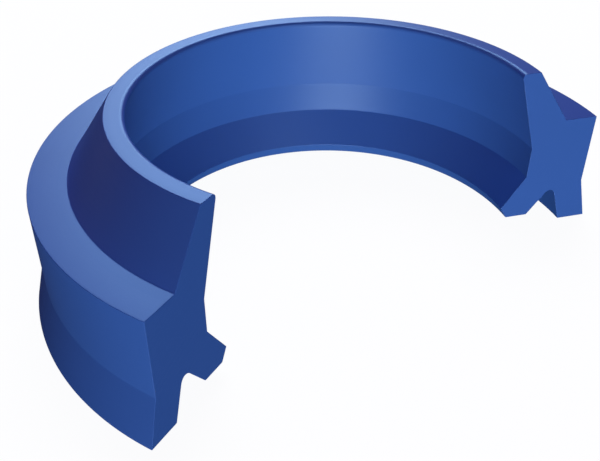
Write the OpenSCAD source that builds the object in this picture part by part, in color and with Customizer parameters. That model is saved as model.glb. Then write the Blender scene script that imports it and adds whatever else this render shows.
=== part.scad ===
// Rod wiper seal with two rod lips, cut open to show its section.
// One ring of blue polyurethane. The wiping lip on top scrapes dirt off the rod, the sealing lip
// below it holds back the oil film, and the flared static lip seals against the housing.
// Z is the rod axis and points to the outside. Z = 0 is the foot of the static lip.

/* [Rod and housing] */
// Diameter of the rod
rod_d = 22; // [10:0.5:120]
// Radial depth of the housing groove around the rod
groove_depth = 5; // [4.4:0.1:8]
// Width of the housing groove along the rod
groove_w = 7; // [6:0.1:10]
// Overall height of the seal
overall_h = 10; // [8.5:0.1:14]

/* [Fits] */
// Radial clearance of the body in the housing groove
body_clearance = 0.3; // [0.1:0.05:0.6]
// Side clearance of the body in the housing groove
side_clearance = 0.13; // [0.05:0.01:0.4]
// Radial clearance between the rod and the inner wall
wall_clearance = 0.9; // [0.5:0.05:1.3]
// Radial squeeze of the wiping lip on the rod
wiping_squeeze = 0.53; // [0.2:0.01:0.8]
// Radial squeeze of the sealing lip on the rod
sealing_squeeze = 0.42; // [0.2:0.01:0.8]
// Radial squeeze of the static lip in the housing groove
static_squeeze = 0.4; // [0.1:0.05:0.8]

/* [Wiping lip] */
// Width of the flat on top of the wiping lip
wiping_flat_w = 1.12; // [0.8:0.02:1.8]
// Radius of the wiping edge
wiping_edge_r = 0.25; // [0.1:0.05:0.5]
// Width of the shoulder around the root of the wiping lip
shoulder_w = 1.95; // [1.2:0.05:2.6]
// Depth of the inner cone below the shoulder
cone_depth = 1.6; // [0.8:0.1:2.4]

/* [Sealing lip] */
// Height of the sealing edge
sealing_edge_h = 1.37; // [1:0.01:1.8]
// Height of the flat end of the sealing lip
sealing_end_h = 0.66; // [0.3:0.02:0.9]
// Width of the flat end of the sealing lip
sealing_end_w = 1.37; // [1:0.01:1.7]
// Radius of the toe between the flat end and the face below the sealing edge
sealing_toe_r = 0.12; // [0.05:0.01:0.3]
// Angle from the axis of the face above the sealing edge
sealing_upper_angle = 33.5; // [28:0.5:45]
// Angle from the axis of the face below the sealing edge
sealing_lower_angle = 30; // [15:0.5:45]

/* [Static lip] */
// Height at which the outer wall starts to flare
flare_h = 2.6; // [1.5:0.1:4]
// Width of the foot of the static lip
static_foot_w = 1.78; // [1.2:0.02:2.2]

/* [Groove between the lower lips] */
// Angle from the axis of the groove wall on the static lip
groove_outer_angle = 17.5; // [10:0.5:25]
// Angle from the axis of the groove wall on the sealing lip
groove_inner_angle = 36.5; // [28:0.5:50]
// Radius of the groove root
groove_root_r = 0.4; // [0.15:0.05:0.6]

/* [Cutaway] */
// Angle of the sector that is cut out of the ring, with 0 for a closed ring
cut_angle = 134.5; // [0:0.5:270]

/* [Hidden] */
$fn = 144;
arc_steps = 8;

rod_r = rod_d / 2;
housing_r = rod_r + groove_depth;
body_r = housing_r - body_clearance;
wall_r = rod_r + wall_clearance;
shoulder_h = groove_w - side_clearance;

// Corners of the section as [radius, height], in order round it
wiping_edge = [rod_r - wiping_squeeze, overall_h];
wiping_back = wiping_edge + [wiping_flat_w, 0];
shoulder_in = [body_r - shoulder_w, shoulder_h];
shoulder_out = [body_r, shoulder_h];
flare_start = [body_r, flare_h];
static_edge = [housing_r + static_squeeze, 0];
static_heel = static_edge - [static_foot_w, 0];
sealing_edge = [rod_r - sealing_squeeze, sealing_edge_h];
sealing_toe = [sealing_edge.x + (sealing_edge_h - sealing_end_h) * tan(sealing_lower_angle), sealing_end_h];
sealing_heel = sealing_toe + [sealing_end_w, 0];
groove_root = meeting_point(static_heel, groove_outer_angle, sealing_heel, -groove_inner_angle);
wall_foot = [wall_r, sealing_edge_h + (wall_r - sealing_edge.x) / tan(sealing_upper_angle)];
wall_top = [wall_r, shoulder_h - cone_depth];

// Vector v at length 1, and vector v turned by angle a
function unit(v) = v / norm(v);
function turned(v, a) = [v.x * cos(a) - v.y * sin(a), v.x * sin(a) + v.y * cos(a)];

// Where a line up from p, leaning inwards by angle a, meets one up from q, leaning inwards by angle b
function meeting_point(p, a, q, b) =
    let (u = turned([0, 1], a), v = turned([0, 1], b))
    p + u * cross(q - p, v) / cross(u, v);

// Points of the arc that rounds a corner, from the side of the corner before it to that of the one after
function rounded(before, corner, after, radius) =
    let (
        to_before = unit(before - corner),
        to_after = unit(after - corner),
        half_angle = acos(to_before * to_after) / 2,
        centre = corner + unit(to_before + to_after) * radius / sin(half_angle),
        spoke = corner + to_before * radius / tan(half_angle) - centre,
        sweep = (180 - 2 * half_angle) * sign(cross(spoke, corner - centre))
    )
    [for (i = [0 : arc_steps]) centre + turned(spoke, sweep * i / arc_steps)];

// Section of the ring, with the radius along X and the height along Y
module section() {
    polygon([
        each rounded(wall_top, wiping_edge, wiping_back, wiping_edge_r),
        wiping_back, shoulder_in, shoulder_out, flare_start, static_edge, static_heel,
        each rounded(static_heel, groove_root, sealing_heel, groove_root_r),
        sealing_heel,
        each rounded(sealing_heel, sealing_toe, sealing_edge, sealing_toe_r),
        sealing_edge, wall_foot, wall_top
    ]);
}

// The whole seal: the section turned round the rod axis, with the cut-out sector centred on -Y
module wiper_ring() {
    color([0.22, 0.39, 0.68])
        rotate([0, 0, cut_angle / 2 - 90])
            rotate_extrude(angle = 360 - cut_angle)
                section();
}

wiper_ring();
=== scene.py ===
"""Looks of a rod wiper seal: one ring of blue polyurethane, cut open to show its section."""

import logging
import math
from dataclasses import dataclass
from enum import Enum

import bmesh
import bpy
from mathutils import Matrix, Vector


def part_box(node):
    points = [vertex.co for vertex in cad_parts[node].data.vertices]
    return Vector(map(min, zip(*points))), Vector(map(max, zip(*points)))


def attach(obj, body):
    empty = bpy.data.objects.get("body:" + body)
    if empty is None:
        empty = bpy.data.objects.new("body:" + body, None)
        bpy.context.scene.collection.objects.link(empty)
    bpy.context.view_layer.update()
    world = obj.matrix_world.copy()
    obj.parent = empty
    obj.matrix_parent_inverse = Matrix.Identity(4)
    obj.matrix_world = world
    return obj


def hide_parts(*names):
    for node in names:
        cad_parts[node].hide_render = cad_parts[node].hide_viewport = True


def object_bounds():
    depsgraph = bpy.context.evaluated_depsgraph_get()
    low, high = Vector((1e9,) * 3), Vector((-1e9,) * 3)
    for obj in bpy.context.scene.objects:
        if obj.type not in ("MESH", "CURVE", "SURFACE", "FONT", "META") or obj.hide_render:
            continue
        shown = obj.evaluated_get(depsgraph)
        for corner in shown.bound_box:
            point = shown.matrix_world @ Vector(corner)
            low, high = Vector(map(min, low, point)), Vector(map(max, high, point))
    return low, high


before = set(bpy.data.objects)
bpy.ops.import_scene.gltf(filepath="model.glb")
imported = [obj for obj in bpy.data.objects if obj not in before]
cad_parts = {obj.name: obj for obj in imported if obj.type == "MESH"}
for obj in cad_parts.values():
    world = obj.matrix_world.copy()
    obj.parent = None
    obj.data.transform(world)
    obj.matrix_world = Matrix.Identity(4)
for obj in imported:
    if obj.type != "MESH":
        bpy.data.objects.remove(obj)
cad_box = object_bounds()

MM = 0.001
RING_NODE = "wiper_ring"
RING_BODY = "root"
NOISE_MIDDLE = 0.5
ROUND_PROFILE = 0.5

Colour = tuple[float, float, float, float]
Sockets = dict[str, bpy.types.NodeSocket]
SocketOrNumber = bpy.types.NodeSocket | float
log = logging.getLogger("wiper_seal")


class Corner(Enum):
    """Corners of the seal's section, in order round it."""

    WIPING_EDGE = "wiping edge"
    WIPING_BACK = "outer edge of the wiping lip's flat"
    SHOULDER_IN = "root of the wiping lip"
    SHOULDER_OUT = "outer edge of the shoulder"
    FLARE_START = "start of the static lip's flare"
    STATIC_EDGE = "static lip's edge"
    STATIC_HEEL = "inner edge of the static lip's foot"
    GROOVE_ROOT = "root of the groove between the lower lips"
    SEALING_HEEL = "outer edge of the sealing lip's end"
    SEALING_TOE = "inner edge of the sealing lip's end"
    SEALING_EDGE = "sealing edge"
    WALL_FOOT = "foot of the inner wall"
    WALL_TOP = "top of the inner wall"


class Marks(Enum):
    """Marks that the making of a face leaves on it."""

    TURNED = "rings left by turning"
    SLICED = "straight lines left by the knife that cut the ring open"


@dataclass(frozen=True)
class SealSection:
    """Section of the seal in metres, as radii from the rod axis and heights above the static lip's foot."""

    static_edge_r: float
    overall_h: float
    static_foot_w: float = 1.78 * MM
    flare_w: float = 0.70 * MM
    flare_h: float = 2.60 * MM
    shoulder_w: float = 1.95 * MM
    shoulder_h: float = 6.87 * MM
    wiping_edge_r: float = 10.47 * MM
    wiping_flat_w: float = 1.12 * MM
    wall_r: float = 11.90 * MM
    wall_top_h: float = 5.27 * MM
    sealing_edge_r: float = 10.58 * MM
    sealing_edge_h: float = 1.37 * MM
    sealing_end_w: float = 1.37 * MM
    sealing_end_h: float = 0.66 * MM
    sealing_upper_deg: float = 33.5
    sealing_lower_deg: float = 30.0
    groove_outer_deg: float = 17.5
    groove_inner_deg: float = 36.5
    wiping_edge_round: float = 0.25 * MM
    groove_root_round: float = 0.40 * MM
    sealing_toe_round: float = 0.12 * MM

    def corners(self) -> dict[Corner, tuple[float, float]]:
        """Works out the corners of the section.

        Returns:
            Radius and height of each corner, in order round the section.
        """
        body_r = self.static_edge_r - self.flare_w
        heel_r = self.static_edge_r - self.static_foot_w
        lip_drop = self.sealing_edge_h - self.sealing_end_h
        toe_r = self.sealing_edge_r + lip_drop * math.tan(math.radians(self.sealing_lower_deg))
        end_r = toe_r + self.sealing_end_w
        outer_slope = math.tan(math.radians(self.groove_outer_deg))
        inner_slope = math.tan(math.radians(self.groove_inner_deg))
        root_h = (heel_r - end_r + self.sealing_end_h * inner_slope) / (outer_slope + inner_slope)
        lip_rise = (self.wall_r - self.sealing_edge_r) / math.tan(math.radians(self.sealing_upper_deg))
        return {
            Corner.WIPING_EDGE: (self.wiping_edge_r, self.overall_h),
            Corner.WIPING_BACK: (self.wiping_edge_r + self.wiping_flat_w, self.overall_h),
            Corner.SHOULDER_IN: (body_r - self.shoulder_w, self.shoulder_h),
            Corner.SHOULDER_OUT: (body_r, self.shoulder_h),
            Corner.FLARE_START: (body_r, self.flare_h),
            Corner.STATIC_EDGE: (self.static_edge_r, 0.0),
            Corner.STATIC_HEEL: (heel_r, 0.0),
            Corner.GROOVE_ROOT: (heel_r - root_h * outer_slope, root_h),
            Corner.SEALING_HEEL: (end_r, self.sealing_end_h),
            Corner.SEALING_TOE: (toe_r, self.sealing_end_h),
            Corner.SEALING_EDGE: (self.sealing_edge_r, self.sealing_edge_h),
            Corner.WALL_FOOT: (self.wall_r, self.sealing_edge_h + lip_rise),
            Corner.WALL_TOP: (self.wall_r, self.wall_top_h),
        }

    def rounds(self) -> dict[Corner, float]:
        """Gives the radius of each corner that is rounded in the section."""
        return {
            Corner.WIPING_EDGE: self.wiping_edge_round,
            Corner.GROOVE_ROOT: self.groove_root_round,
            Corner.SEALING_TOE: self.sealing_toe_round,
        }


class NodeSheet:
    """A node tree with short calls for adding and joining its nodes."""

    def __init__(self, tree: bpy.types.NodeTree) -> None:
        """Keeps the tree that the calls work on."""
        self.tree = tree

    def add(self, kind: str, **settings: object) -> bpy.types.Node:
        """Adds a node.

        Args:
            kind: The node's type name in Blender.
            settings: Properties of the node, such as its operation.

        Returns:
            The new node.
        """
        node = self.tree.nodes.new(kind)
        for name, value in settings.items():
            setattr(node, name, value)
        return node

    def join(self, source: bpy.types.NodeSocket, target: bpy.types.NodeSocket) -> None:
        """Links an output to an input."""
        self.tree.links.new(source, target)

    def calc(
        self, operation: str, first: SocketOrNumber, second: SocketOrNumber | None = None
    ) -> bpy.types.NodeSocket:
        """Adds a Math node.

        Args:
            operation: The Math node's operation.
            first: A socket or a number for the first input.
            second: A socket or a number for the second input, if there is one.

        Returns:
            The node's output socket.
        """
        node = self.add("ShaderNodeMath", operation=operation)
        for slot, value in enumerate((first, second)):
            if isinstance(value, bpy.types.NodeSocket):
                self.join(value, node.inputs[slot])
            elif value is not None:
                node.inputs[slot].default_value = value
        return node.outputs[0]

    def noise(self, vector: bpy.types.NodeSocket, size: float, detail: float) -> bpy.types.NodeSocket:
        """Adds a noise texture.

        Args:
            vector: Where on the piece the noise is read, in metres.
            size: Size of the noise's features in metres.
            detail: Number of finer layers on top of the first.

        Returns:
            The noise's value, from 0 to 1.
        """
        node = self.add("ShaderNodeTexNoise")
        self.join(vector, node.inputs["Vector"])
        node.inputs["Scale"].default_value = 1.0 / size
        node.inputs["Detail"].default_value = detail
        return node.outputs["Fac"]


def new_group(
    name: str, inputs: dict[str, str], outputs: dict[str, str]
) -> tuple[NodeSheet, Sockets, Sockets]:
    """Starts a shader node group.

    Args:
        name: The group's name.
        inputs: Socket type of each input, by name.
        outputs: Socket type of each output, by name.

    Returns:
        The group's sheet, its inputs as sockets to read from, and its outputs as sockets to link to.
    """
    tree = bpy.data.node_groups.new(name, "ShaderNodeTree")
    for socket, kind in inputs.items():
        tree.interface.new_socket(socket, in_out="INPUT", socket_type=kind)
    for socket, kind in outputs.items():
        tree.interface.new_socket(socket, in_out="OUTPUT", socket_type=kind)
    sheet = NodeSheet(tree)
    start = sheet.add("NodeGroupInput")
    end = sheet.add("NodeGroupOutput")
    return sheet, {n: start.outputs[n] for n in inputs}, {n: end.inputs[n] for n in outputs}


class PolyurethaneGroups:
    """Node groups that the two polyurethane finishes share."""

    tone_size: float = 5.0 * MM
    tone_detail: float = 2.0
    grain_detail: float = 3.0

    def __init__(self) -> None:
        """Builds the groups once."""
        self.ring_place = self._ring_place()
        self.tone_drift = self._tone_drift()
        self.surface_grain = self._surface_grain()

    @staticmethod
    def _ring_place() -> bpy.types.NodeTree:
        """Makes the group that gives a point's radius and height in the ring.

        Returns:
            The group, whose Place output holds the radius, nothing and the height.
        """
        sheet, _, out = new_group("ring_place", {}, {"Place": "NodeSocketVector"})
        here = sheet.add("ShaderNodeTexCoord").outputs["Object"]
        parts = sheet.add("ShaderNodeSeparateXYZ")
        sheet.join(here, parts.inputs[0])
        x, y, z = parts.outputs
        squares = [sheet.calc("MULTIPLY", side, side) for side in (x, y)]
        radius = sheet.calc("SQRT", sheet.calc("ADD", *squares))
        place = sheet.add("ShaderNodeCombineXYZ")
        sheet.join(radius, place.inputs["X"])
        sheet.join(z, place.inputs["Z"])
        sheet.join(place.outputs[0], out["Place"])
        return sheet.tree

    def _tone_drift(self) -> bpy.types.NodeTree:
        """Makes the group that lets a colour drift a little over the piece.

        Returns:
            The group, with the colour and the share by which it drifts as inputs.
        """
        sheet, given, out = new_group(
            "tone_drift",
            {"Colour": "NodeSocketColor", "Share": "NodeSocketFloat"},
            {"Colour": "NodeSocketColor"},
        )
        here = sheet.add("ShaderNodeTexCoord").outputs["Object"]
        swing = sheet.calc("SUBTRACT", sheet.noise(here, self.tone_size, self.tone_detail), NOISE_MIDDLE)
        gain = sheet.calc("ADD", sheet.calc("MULTIPLY", swing, given["Share"]), 1.0)
        shade = sheet.add("ShaderNodeVectorMath", operation="SCALE")
        sheet.join(given["Colour"], shade.inputs[0])
        sheet.join(gain, shade.inputs["Scale"])
        sheet.join(shade.outputs[0], out["Colour"])
        return sheet.tree

    def _surface_grain(self) -> bpy.types.NodeTree:
        """Makes the group of the fine grain of the surface.

        Returns:
            The group, with the number of grains to the metre as input and the grain's height as output.
        """
        sheet, given, out = new_group(
            "surface_grain", {"Fineness": "NodeSocketFloat"}, {"Height": "NodeSocketFloat"}
        )
        here = sheet.add("ShaderNodeTexCoord").outputs["Object"]
        noise = sheet.add("ShaderNodeTexNoise")
        noise.inputs["Detail"].default_value = self.grain_detail
        sheet.join(here, noise.inputs["Vector"])
        sheet.join(given["Fineness"], noise.inputs["Scale"])
        sheet.join(noise.outputs["Fac"], out["Height"])
        return sheet.tree


@dataclass(frozen=True)
class PolyurethaneFinish:
    """Satin blue polyurethane with the marks of its making."""

    name: str
    marks: Marks
    colour: Colour
    roughness: float
    roughness_spread: float
    tone_share: float
    mark_spacing: float
    mark_depth: float
    grain_size: float
    grain_depth: float
    mark_lean_deg: float = 0.0
    mark_detail: float = 2.0
    specular: float = 0.38
    specular_tint: Colour = (0.50, 0.72, 1.0, 1.0)

    def material(self, groups: PolyurethaneGroups) -> bpy.types.Material:
        """Builds the finish as a material.

        Args:
            groups: The node groups shared by the finishes.

        Returns:
            The material.
        """
        material = bpy.data.materials.new(self.name)
        material.use_nodes = True
        sheet = NodeSheet(material.node_tree)
        shader = material.node_tree.nodes["Principled BSDF"]

        shader.inputs["Specular IOR Level"].default_value = self.specular
        shader.inputs["Specular Tint"].default_value = self.specular_tint

        tone = sheet.add("ShaderNodeGroup", node_tree=groups.tone_drift)
        tone.inputs["Colour"].default_value = self.colour
        tone.inputs["Share"].default_value = self.tone_share
        sheet.join(tone.outputs["Colour"], shader.inputs["Base Color"])

        marks = self._mark_height(sheet, groups)
        grain = sheet.add("ShaderNodeGroup", node_tree=groups.surface_grain)
        grain.inputs["Fineness"].default_value = 1.0 / self.grain_size
        swing = sheet.calc("SUBTRACT", marks, NOISE_MIDDLE)
        spread = sheet.calc("MULTIPLY", swing, self.roughness_spread)
        sheet.join(sheet.calc("ADD", spread, self.roughness), shader.inputs["Roughness"])

        mark_bump = sheet.add("ShaderNodeBump")
        mark_bump.inputs["Distance"].default_value = self.mark_depth
        sheet.join(marks, mark_bump.inputs["Height"])
        grain_bump = sheet.add("ShaderNodeBump")
        grain_bump.inputs["Distance"].default_value = self.grain_depth
        sheet.join(grain.outputs["Height"], grain_bump.inputs["Height"])
        sheet.join(mark_bump.outputs["Normal"], grain_bump.inputs["Normal"])
        sheet.join(grain_bump.outputs["Normal"], shader.inputs["Normal"])
        return material

    def _mark_height(self, sheet: NodeSheet, groups: PolyurethaneGroups) -> bpy.types.NodeSocket:
        """Draws the marks of turning or of the knife.

        Args:
            sheet: The material's node sheet.
            groups: The node groups shared by the finishes.

        Returns:
            The height of the marks, from 0 to 1.
        """
        place = sheet.add("ShaderNodeGroup", node_tree=groups.ring_place).outputs["Place"]
        if self.marks is Marks.TURNED:
            return sheet.noise(place, self.mark_spacing, self.mark_detail)
        lean = math.radians(self.mark_lean_deg)
        across = sheet.add("ShaderNodeVectorMath", operation="DOT_PRODUCT")
        across.inputs[1].default_value = (math.sin(lean), 0.0, math.cos(lean))
        sheet.join(place, across.inputs[0])
        line = sheet.add("ShaderNodeCombineXYZ")
        sheet.join(across.outputs["Value"], line.inputs["X"])
        return sheet.noise(line.outputs[0], self.mark_spacing, self.mark_detail)


SKIN = PolyurethaneFinish(
    name="turned_polyurethane",
    marks=Marks.TURNED,
    colour=(0.030, 0.100, 0.360, 1.0),
    roughness=0.40,
    roughness_spread=0.08,
    tone_share=0.10,
    mark_spacing=0.12 * MM,
    mark_depth=0.0012 * MM,
    grain_size=0.09 * MM,
    grain_depth=0.0010 * MM,
)
CUT_FACE = PolyurethaneFinish(
    name="sliced_polyurethane",
    marks=Marks.SLICED,
    colour=(0.030, 0.100, 0.360, 1.0),
    roughness=0.45,
    roughness_spread=0.12,
    tone_share=0.08,
    mark_spacing=0.16 * MM,
    mark_depth=0.0035 * MM,
    grain_size=0.06 * MM,
    grain_depth=0.0012 * MM,
    mark_lean_deg=24.0,
)


@dataclass
class WiperRing:
    """The seal itself: its section turned round the rod axis, less the cut-out sector."""

    section: SealSection
    half_cut: float
    name: str = "wiper_seal_ring"
    turn_steps: int = 216
    round_steps: int = 16
    crease_deg: float = 11.0
    crease_round: float = 0.035 * MM
    crease_steps: int = 2
    smooth_deg: float = 33.0
    merge_gap: float = 0.00005 * MM
    flat_weight: int = 100
    same_area_mm2: float = 0.0005
    same_plane: float = 0.999

    @classmethod
    def from_frame(cls, node: str) -> "WiperRing":
        """Takes the ring's reach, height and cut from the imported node.

        Args:
            node: Name of the ring's node.

        Returns:
            The ring, ready to be built.
        """
        low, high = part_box(node)
        return cls(SealSection(high.x, high.z), math.acos(-low.y / high.x))

    @property
    def start_angle(self) -> float:
        """Angle from +X of the first cut face."""
        return self.half_cut - math.pi / 2

    @property
    def sweep(self) -> float:
        """Angle through which the section is turned."""
        return 2 * math.pi - 2 * self.half_cut

    def build(self) -> bpy.types.Object:
        """Models the ring.

        Returns:
            The ring's object, at the origin.
        """
        bpy.ops.object.select_all(action="DESELECT")
        bpy.ops.mesh.primitive_plane_add(size=MM)
        ring = bpy.context.object
        ring.name = self.name
        bpy.ops.object.mode_set(mode="EDIT")
        self._trace_section()
        self._round_corners(ring)
        self._turn_section()
        self._soften_creases()
        bpy.ops.object.mode_set(mode="OBJECT")
        bpy.ops.object.shade_smooth_by_angle(angle=math.radians(self.smooth_deg))
        self._keep_flats(ring)
        return ring

    def _on_cut(self, radius: float, height: float) -> Vector:
        """Places a point of the section on the first cut face."""
        return Vector((radius * math.cos(self.start_angle), radius * math.sin(self.start_angle), height))

    def _trace_section(self) -> None:
        """Draws the section on the first cut face by pulling one point from corner to corner."""
        path = [self._on_cut(*corner) for corner in self.section.corners().values()]
        bpy.ops.mesh.select_all(action="SELECT")
        bpy.ops.mesh.merge(type="CENTER")
        bpy.ops.transform.translate(value=path[0])
        for here, there in zip(path, path[1:]):
            bpy.ops.mesh.extrude_region_move(TRANSFORM_OT_translate={"value": there - here})
        bpy.ops.mesh.select_all(action="SELECT")
        bpy.ops.mesh.edge_face_add()

    def _round_corners(self, ring: bpy.types.Object) -> None:
        """Rounds the corners of the section that have a radius.

        Args:
            ring: The ring's object, in edit mode.
        """
        corners = self.section.corners()
        order = list(corners)
        for corner, radius in self.section.rounds().items():
            spot = order.index(corner)
            before, here, after = (
                Vector(corners[order[k % len(order)]]) for k in (spot - 1, spot, spot + 1)
            )
            half_angle = (before - here).angle(after - here) / 2
            self._select_point(ring, self._on_cut(*here))
            bpy.ops.mesh.bevel(
                offset=radius / math.tan(half_angle),
                segments=self.round_steps,
                affect="VERTICES",
                profile=ROUND_PROFILE,
            )

    @staticmethod
    def _select_point(ring: bpy.types.Object, place: Vector) -> None:
        """Selects the vertex nearest to a place, and nothing else.

        Args:
            ring: The ring's object, in edit mode.
            place: The place in metres.
        """
        bpy.ops.mesh.select_all(action="DESELECT")
        bpy.ops.mesh.select_mode(type="VERT")
        mesh = bmesh.from_edit_mesh(ring.data)
        min(mesh.verts, key=lambda vert: (vert.co - place).length).select_set(True)
        mesh.select_flush_mode()
        bmesh.update_edit_mesh(ring.data)

    def _turn_section(self) -> None:
        """Turns the section round the rod axis into a closed ring with two cut faces."""
        bpy.ops.mesh.select_all(action="SELECT")
        bpy.ops.mesh.spin(steps=self.turn_steps, angle=self.sweep, center=(0, 0, 0), axis=(0, 0, -1))
        bpy.ops.mesh.select_all(action="SELECT")
        bpy.ops.mesh.remove_doubles(threshold=self.merge_gap)
        bpy.ops.mesh.normals_make_consistent(inside=False)

    def _soften_creases(self) -> None:
        """Gives every crease the small radius of a turned or cut edge."""
        bpy.ops.mesh.select_mode(type="EDGE")
        bpy.ops.mesh.select_all(action="DESELECT")
        bpy.ops.mesh.edges_select_sharp(sharpness=math.radians(self.crease_deg))
        bpy.ops.mesh.bevel(
            offset=self.crease_round,
            segments=self.crease_steps,
            affect="EDGES",
            profile=ROUND_PROFILE,
            clamp_overlap=True,
        )

    def _keep_flats(self, ring: bpy.types.Object) -> None:
        """Lets each flat face look flat right up to its small radii.

        The weighing goes by face area and is done in millimetres, because areas in square metres are
        too small for it.

        Args:
            ring: The ring's object.
        """
        self._scale(ring, 1 / MM)
        bpy.ops.object.modifier_add(type="WEIGHTED_NORMAL")
        flats = ring.modifiers[-1]
        flats.keep_sharp = True
        flats.weight = self.flat_weight
        flats.thresh = self.same_area_mm2
        bpy.ops.object.modifier_apply(modifier=flats.name)
        self._scale(ring, MM)

    @staticmethod
    def _scale(ring: bpy.types.Object, factor: float) -> None:
        """Scales the ring's mesh about the origin."""
        ring.scale = (factor, factor, factor)
        bpy.ops.object.transform_apply(location=False, rotation=False, scale=True)

    def dress(self, ring: bpy.types.Object) -> None:
        """Gives the turned faces and the cut faces their finishes.

        Args:
            ring: The ring's object.
        """
        groups = PolyurethaneGroups()
        for finish in (SKIN, CUT_FACE):
            ring.data.materials.append(finish.material(groups))
        side, front = math.sin(self.start_angle), -math.cos(self.start_angle)
        cut_ways = (Vector((side, front, 0.0)), Vector((-side, front, 0.0)))
        for face in ring.data.polygons:
            face.material_index = int(any(self._on_plane(face, way) for way in cut_ways))

    def _on_plane(self, face: bpy.types.MeshPolygon, way: Vector) -> bool:
        """Tells whether a face lies on the plane through the rod axis that faces a given way."""
        return face.normal.dot(way) > self.same_plane and abs(face.center.dot(way)) < self.crease_round


@dataclass(frozen=True)
class Softbox:
    """A soft lamp that faces the ring."""

    name: str
    azimuth_deg: float
    elevation_deg: float
    power: float
    width: float
    distance: float = 300 * MM
    colour: tuple[float, float, float] = (1.0, 1.0, 1.0)
    casts_shadow: bool = True

    def place(self, target: Vector) -> bpy.types.Object:
        """Puts the lamp up.

        Args:
            target: The point that the lamp faces.

        Returns:
            The lamp's object.
        """
        turn, rise = math.radians(self.azimuth_deg), math.radians(self.elevation_deg)
        away = Vector((math.cos(rise) * math.cos(turn), math.cos(rise) * math.sin(turn), math.sin(rise)))
        bpy.ops.object.light_add(type="AREA", location=target + away * self.distance)
        lamp = bpy.context.object
        lamp.name = self.name
        lamp.rotation_euler = away.to_track_quat("Z", "Y").to_euler()
        lamp.data.shape = "DISK"
        lamp.data.size = self.width
        lamp.data.energy = self.power
        lamp.data.color = self.colour
        lamp.data.use_shadow = self.casts_shadow
        # A reflected ray ends at the table, so a lamp below it is sampled directly and in no other way.
        lamp.data.cycles.use_multiple_importance_sampling = rise > 0
        lamp.visible_camera = False
        return lamp


@dataclass(frozen=True)
class FloorSun:
    """A soft sun that lights the table alone, so that the table keeps the ring's shadow."""

    name: str = "floor_sun"
    azimuth_deg: float = 59.0
    elevation_deg: float = 60.0
    strength: float = 1.8
    spread_deg: float = 35.0

    def place(self, table: bpy.types.Object) -> bpy.types.Object:
        """Puts the sun up.

        Args:
            table: The table that the sun lights.

        Returns:
            The sun's object.
        """
        bpy.ops.object.light_add(type="SUN")
        sun = bpy.context.object
        sun.name = self.name
        sun.rotation_euler = (0.0, math.radians(90 - self.elevation_deg), math.radians(self.azimuth_deg))
        sun.data.energy = self.strength
        sun.data.angle = math.radians(self.spread_deg)
        lit = bpy.data.collections.new("lit_by_floor_sun")
        lit.objects.link(table)
        sun.light_linking.receiver_collection = lit
        return sun


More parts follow.
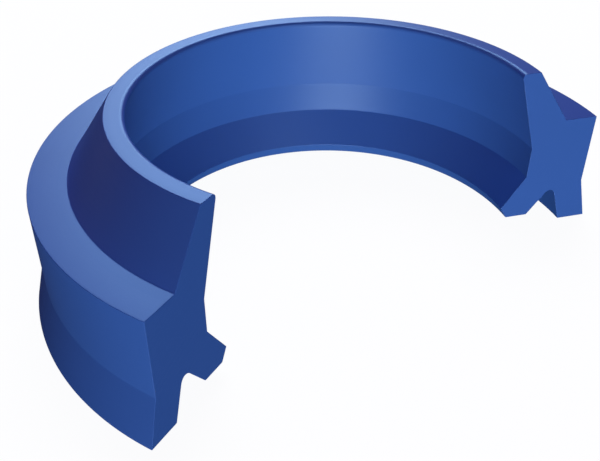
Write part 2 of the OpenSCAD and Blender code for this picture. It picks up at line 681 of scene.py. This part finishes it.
@dataclass
class Studio:
    """A frosted white table lit from below, under a pale horizon and a dim sky.

    The light is even: two of the lamps cast no shadow, and the table throws little light back on the ring.
    """

    target: Vector
    table_size: float = 1.6
    table_colour: Colour = (0.90, 0.90, 0.90, 1.0)
    table_bounce: Colour = (0.03, 0.03, 0.03, 1.0)
    table_roughness: float = 1.0
    table_specular: float = 0.0
    table_glow: float = 0.94
    # Painted shade: the table's glow in reflections fades in between these distances from the ring, in
    # place of the ring's shade on the table.
    shade_from: float = 300 * MM
    shade_to: float = 700 * MM
    sky_colour: Colour = (0.180, 0.073, 0.200, 1.0)
    white: Colour = (1.0, 1.0, 1.0, 1.0)
    horizon_top: float = 0.0
    sky_start: float = 0.05
    lamps: tuple[Softbox, ...] = (
        Softbox(
            name="back_softbox",
            azimuth_deg=59.0,
            elevation_deg=36.0,
            power=0.72,
            width=160 * MM,
            colour=(0.46, 0.71, 1.0),
            casts_shadow=False,
        ),
        Softbox(
            name="front_softbox",
            azimuth_deg=-102.0,
            elevation_deg=15.0,
            power=0.26,
            width=220 * MM,
        ),
        Softbox(
            name="table_lamp",
            azimuth_deg=-131.0,
            elevation_deg=-34.0,
            power=0.79,
            width=190 * MM,
            casts_shadow=False,
        ),
        Softbox(
            name="deep_table_lamp",
            azimuth_deg=-130.0,
            elevation_deg=-60.0,
            power=0.12,
            width=190 * MM,
        ),
    )
    sun: FloorSun = FloorSun()

    def build(self) -> None:
        """Sets up the table, which the lamps below it shine through, the sky, the lamps and the sun."""
        bpy.ops.object.select_all(action="DESELECT")
        bpy.ops.mesh.primitive_plane_add(size=self.table_size)
        table = bpy.context.object
        table.name = "table"
        table.visible_shadow = False
        table.data.materials.append(self._table_material())
        self._light_sky()
        for lamp in self.lamps:
            lamp.place(self.target)
        self.sun.place(table)

    @staticmethod
    def _range(
        sheet: NodeSheet, value: bpy.types.NodeSocket, low: float, high: float
    ) -> bpy.types.NodeSocket:
        """Maps a value so that it rises from 0 to 1.

        Args:
            sheet: The node sheet to add to.
            value: The value to map.
            low: The value that becomes 0.
            high: The value that becomes 1.

        Returns:
            The mapped value, held between 0 and 1.
        """
        node = sheet.add("ShaderNodeMapRange", interpolation_type="SMOOTHSTEP")
        sheet.join(value, node.inputs["Value"])
        node.inputs["From Min"].default_value = low
        node.inputs["From Max"].default_value = high
        return node.outputs["Result"]

    def _table_material(self) -> bpy.types.Material:
        """Makes a table top that looks white, keeps a faint shadow and throws little light back.

        The ring mirrors it as white only where it lies well away from the ring. Nearer the ring its glow
        fades out of the reflections, which paints the ring's shade onto the table as the ring sees it.

        Returns:
            The table's material.
        """
        material = bpy.data.materials.new("frosted_table")
        material.use_nodes = True
        sheet = NodeSheet(material.node_tree)
        shader = material.node_tree.nodes["Principled BSDF"]
        shader.inputs["Roughness"].default_value = self.table_roughness
        shader.inputs["Specular IOR Level"].default_value = self.table_specular
        away = sheet.add("ShaderNodeVectorMath", operation="LENGTH")
        sheet.join(sheet.add("ShaderNodeTexCoord").outputs["Object"], away.inputs[0])
        # Painted shade: in reflections the table glows only beyond shade_from, so near the ring it shows
        # dark, as if shaded by the ring.
        beyond_painted_shade = self._range(sheet, away.outputs["Value"], self.shade_from, self.shade_to)
        path = sheet.add("ShaderNodeLightPath").outputs
        tone = sheet.add("ShaderNodeMixRGB")
        sheet.join(path["Is Camera Ray"], tone.inputs["Fac"])
        tone.inputs["Color1"].default_value = self.table_bounce
        tone.inputs["Color2"].default_value = self.table_colour
        sheet.join(tone.outputs["Color"], shader.inputs["Base Color"])
        mirrored = sheet.calc("MAXIMUM", path["Is Glossy Ray"], path["Is Transmission Ray"])
        seen = sheet.calc("MAXIMUM", path["Is Camera Ray"], sheet.calc("MULTIPLY", mirrored, beyond_painted_shade))
        blend = sheet.add("ShaderNodeMixShader")
        sheet.join(sheet.calc("MULTIPLY", seen, self.table_glow), blend.inputs["Fac"])
        sheet.join(shader.outputs[0], blend.inputs[1])
        sheet.join(sheet.add("ShaderNodeEmission").outputs[0], blend.inputs[2])
        sheet.join(blend.outputs[0], material.node_tree.nodes["Material Output"].inputs["Surface"])
        return material

    def _light_sky(self) -> None:
        """Makes a dim sky with a white horizon, which shows behind the ring and in its reflections."""
        world = bpy.data.worlds.new("studio_sky")
        bpy.context.scene.world = world
        world.use_nodes = True
        sheet = NodeSheet(world.node_tree)
        way = sheet.add("ShaderNodeSeparateXYZ")
        sheet.join(sheet.add("ShaderNodeTexCoord").outputs["Generated"], way.inputs[0])
        above = self._range(sheet, way.outputs["Z"], self.horizon_top, self.sky_start)
        path = sheet.add("ShaderNodeLightPath").outputs
        mirrored = sheet.calc("MAXIMUM", path["Is Glossy Ray"], path["Is Transmission Ray"])
        horizon = sheet.calc("MULTIPLY", mirrored, sheet.calc("SUBTRACT", 1.0, above))
        blend = sheet.add("ShaderNodeMixRGB")
        sheet.join(sheet.calc("MAXIMUM", path["Is Camera Ray"], horizon), blend.inputs["Fac"])
        blend.inputs["Color1"].default_value = self.sky_colour
        blend.inputs["Color2"].default_value = self.white
        sheet.join(blend.outputs["Color"], world.node_tree.nodes["Background"].inputs["Color"])


@dataclass(frozen=True)
class PhotoCamera:
    """Camera at the photograph's place, close above the ring."""

    place: tuple[float, float, float] = (-23.25 * MM, -27.58 * MM, 27.01 * MM)
    heading_deg: float = 37.26
    tilt_deg: float = 35.15
    lens_mm: float = 46.4
    nearest: float = 1.0 * MM
    farthest: float = 5.0

    def build(self) -> bpy.types.Object:
        """Puts the camera up and makes it the scene's own.

        Returns:
            The camera's object.
        """
        bpy.ops.object.camera_add(location=self.place)
        camera = bpy.context.object
        camera.rotation_euler = (math.radians(90 - self.tilt_deg), 0.0, math.radians(-self.heading_deg))
        camera.data.lens = self.lens_mm
        camera.data.clip_start = self.nearest
        camera.data.clip_end = self.farthest
        bpy.context.scene.camera = camera
        return camera


def main() -> None:
    logging.basicConfig(level=logging.INFO, format="%(name)s: %(message)s")
    bpy.context.scene.view_settings.view_transform = "Standard"

    camera = PhotoCamera().build()
    log.info("camera %s", camera.name)
    low, high = cad_box
    studio = Studio(target=(low + high) / 2)
    studio.build()
    log.info("studio with %d lamps", len(studio.lamps))

    seal = WiperRing.from_frame(RING_NODE)
    ring = seal.build()
    seal.dress(ring)
    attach(ring, RING_BODY)
    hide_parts(RING_NODE)
    log.info("%s: %d faces", ring.name, len(ring.data.polygons))


if __name__ == "__main__":
    main()
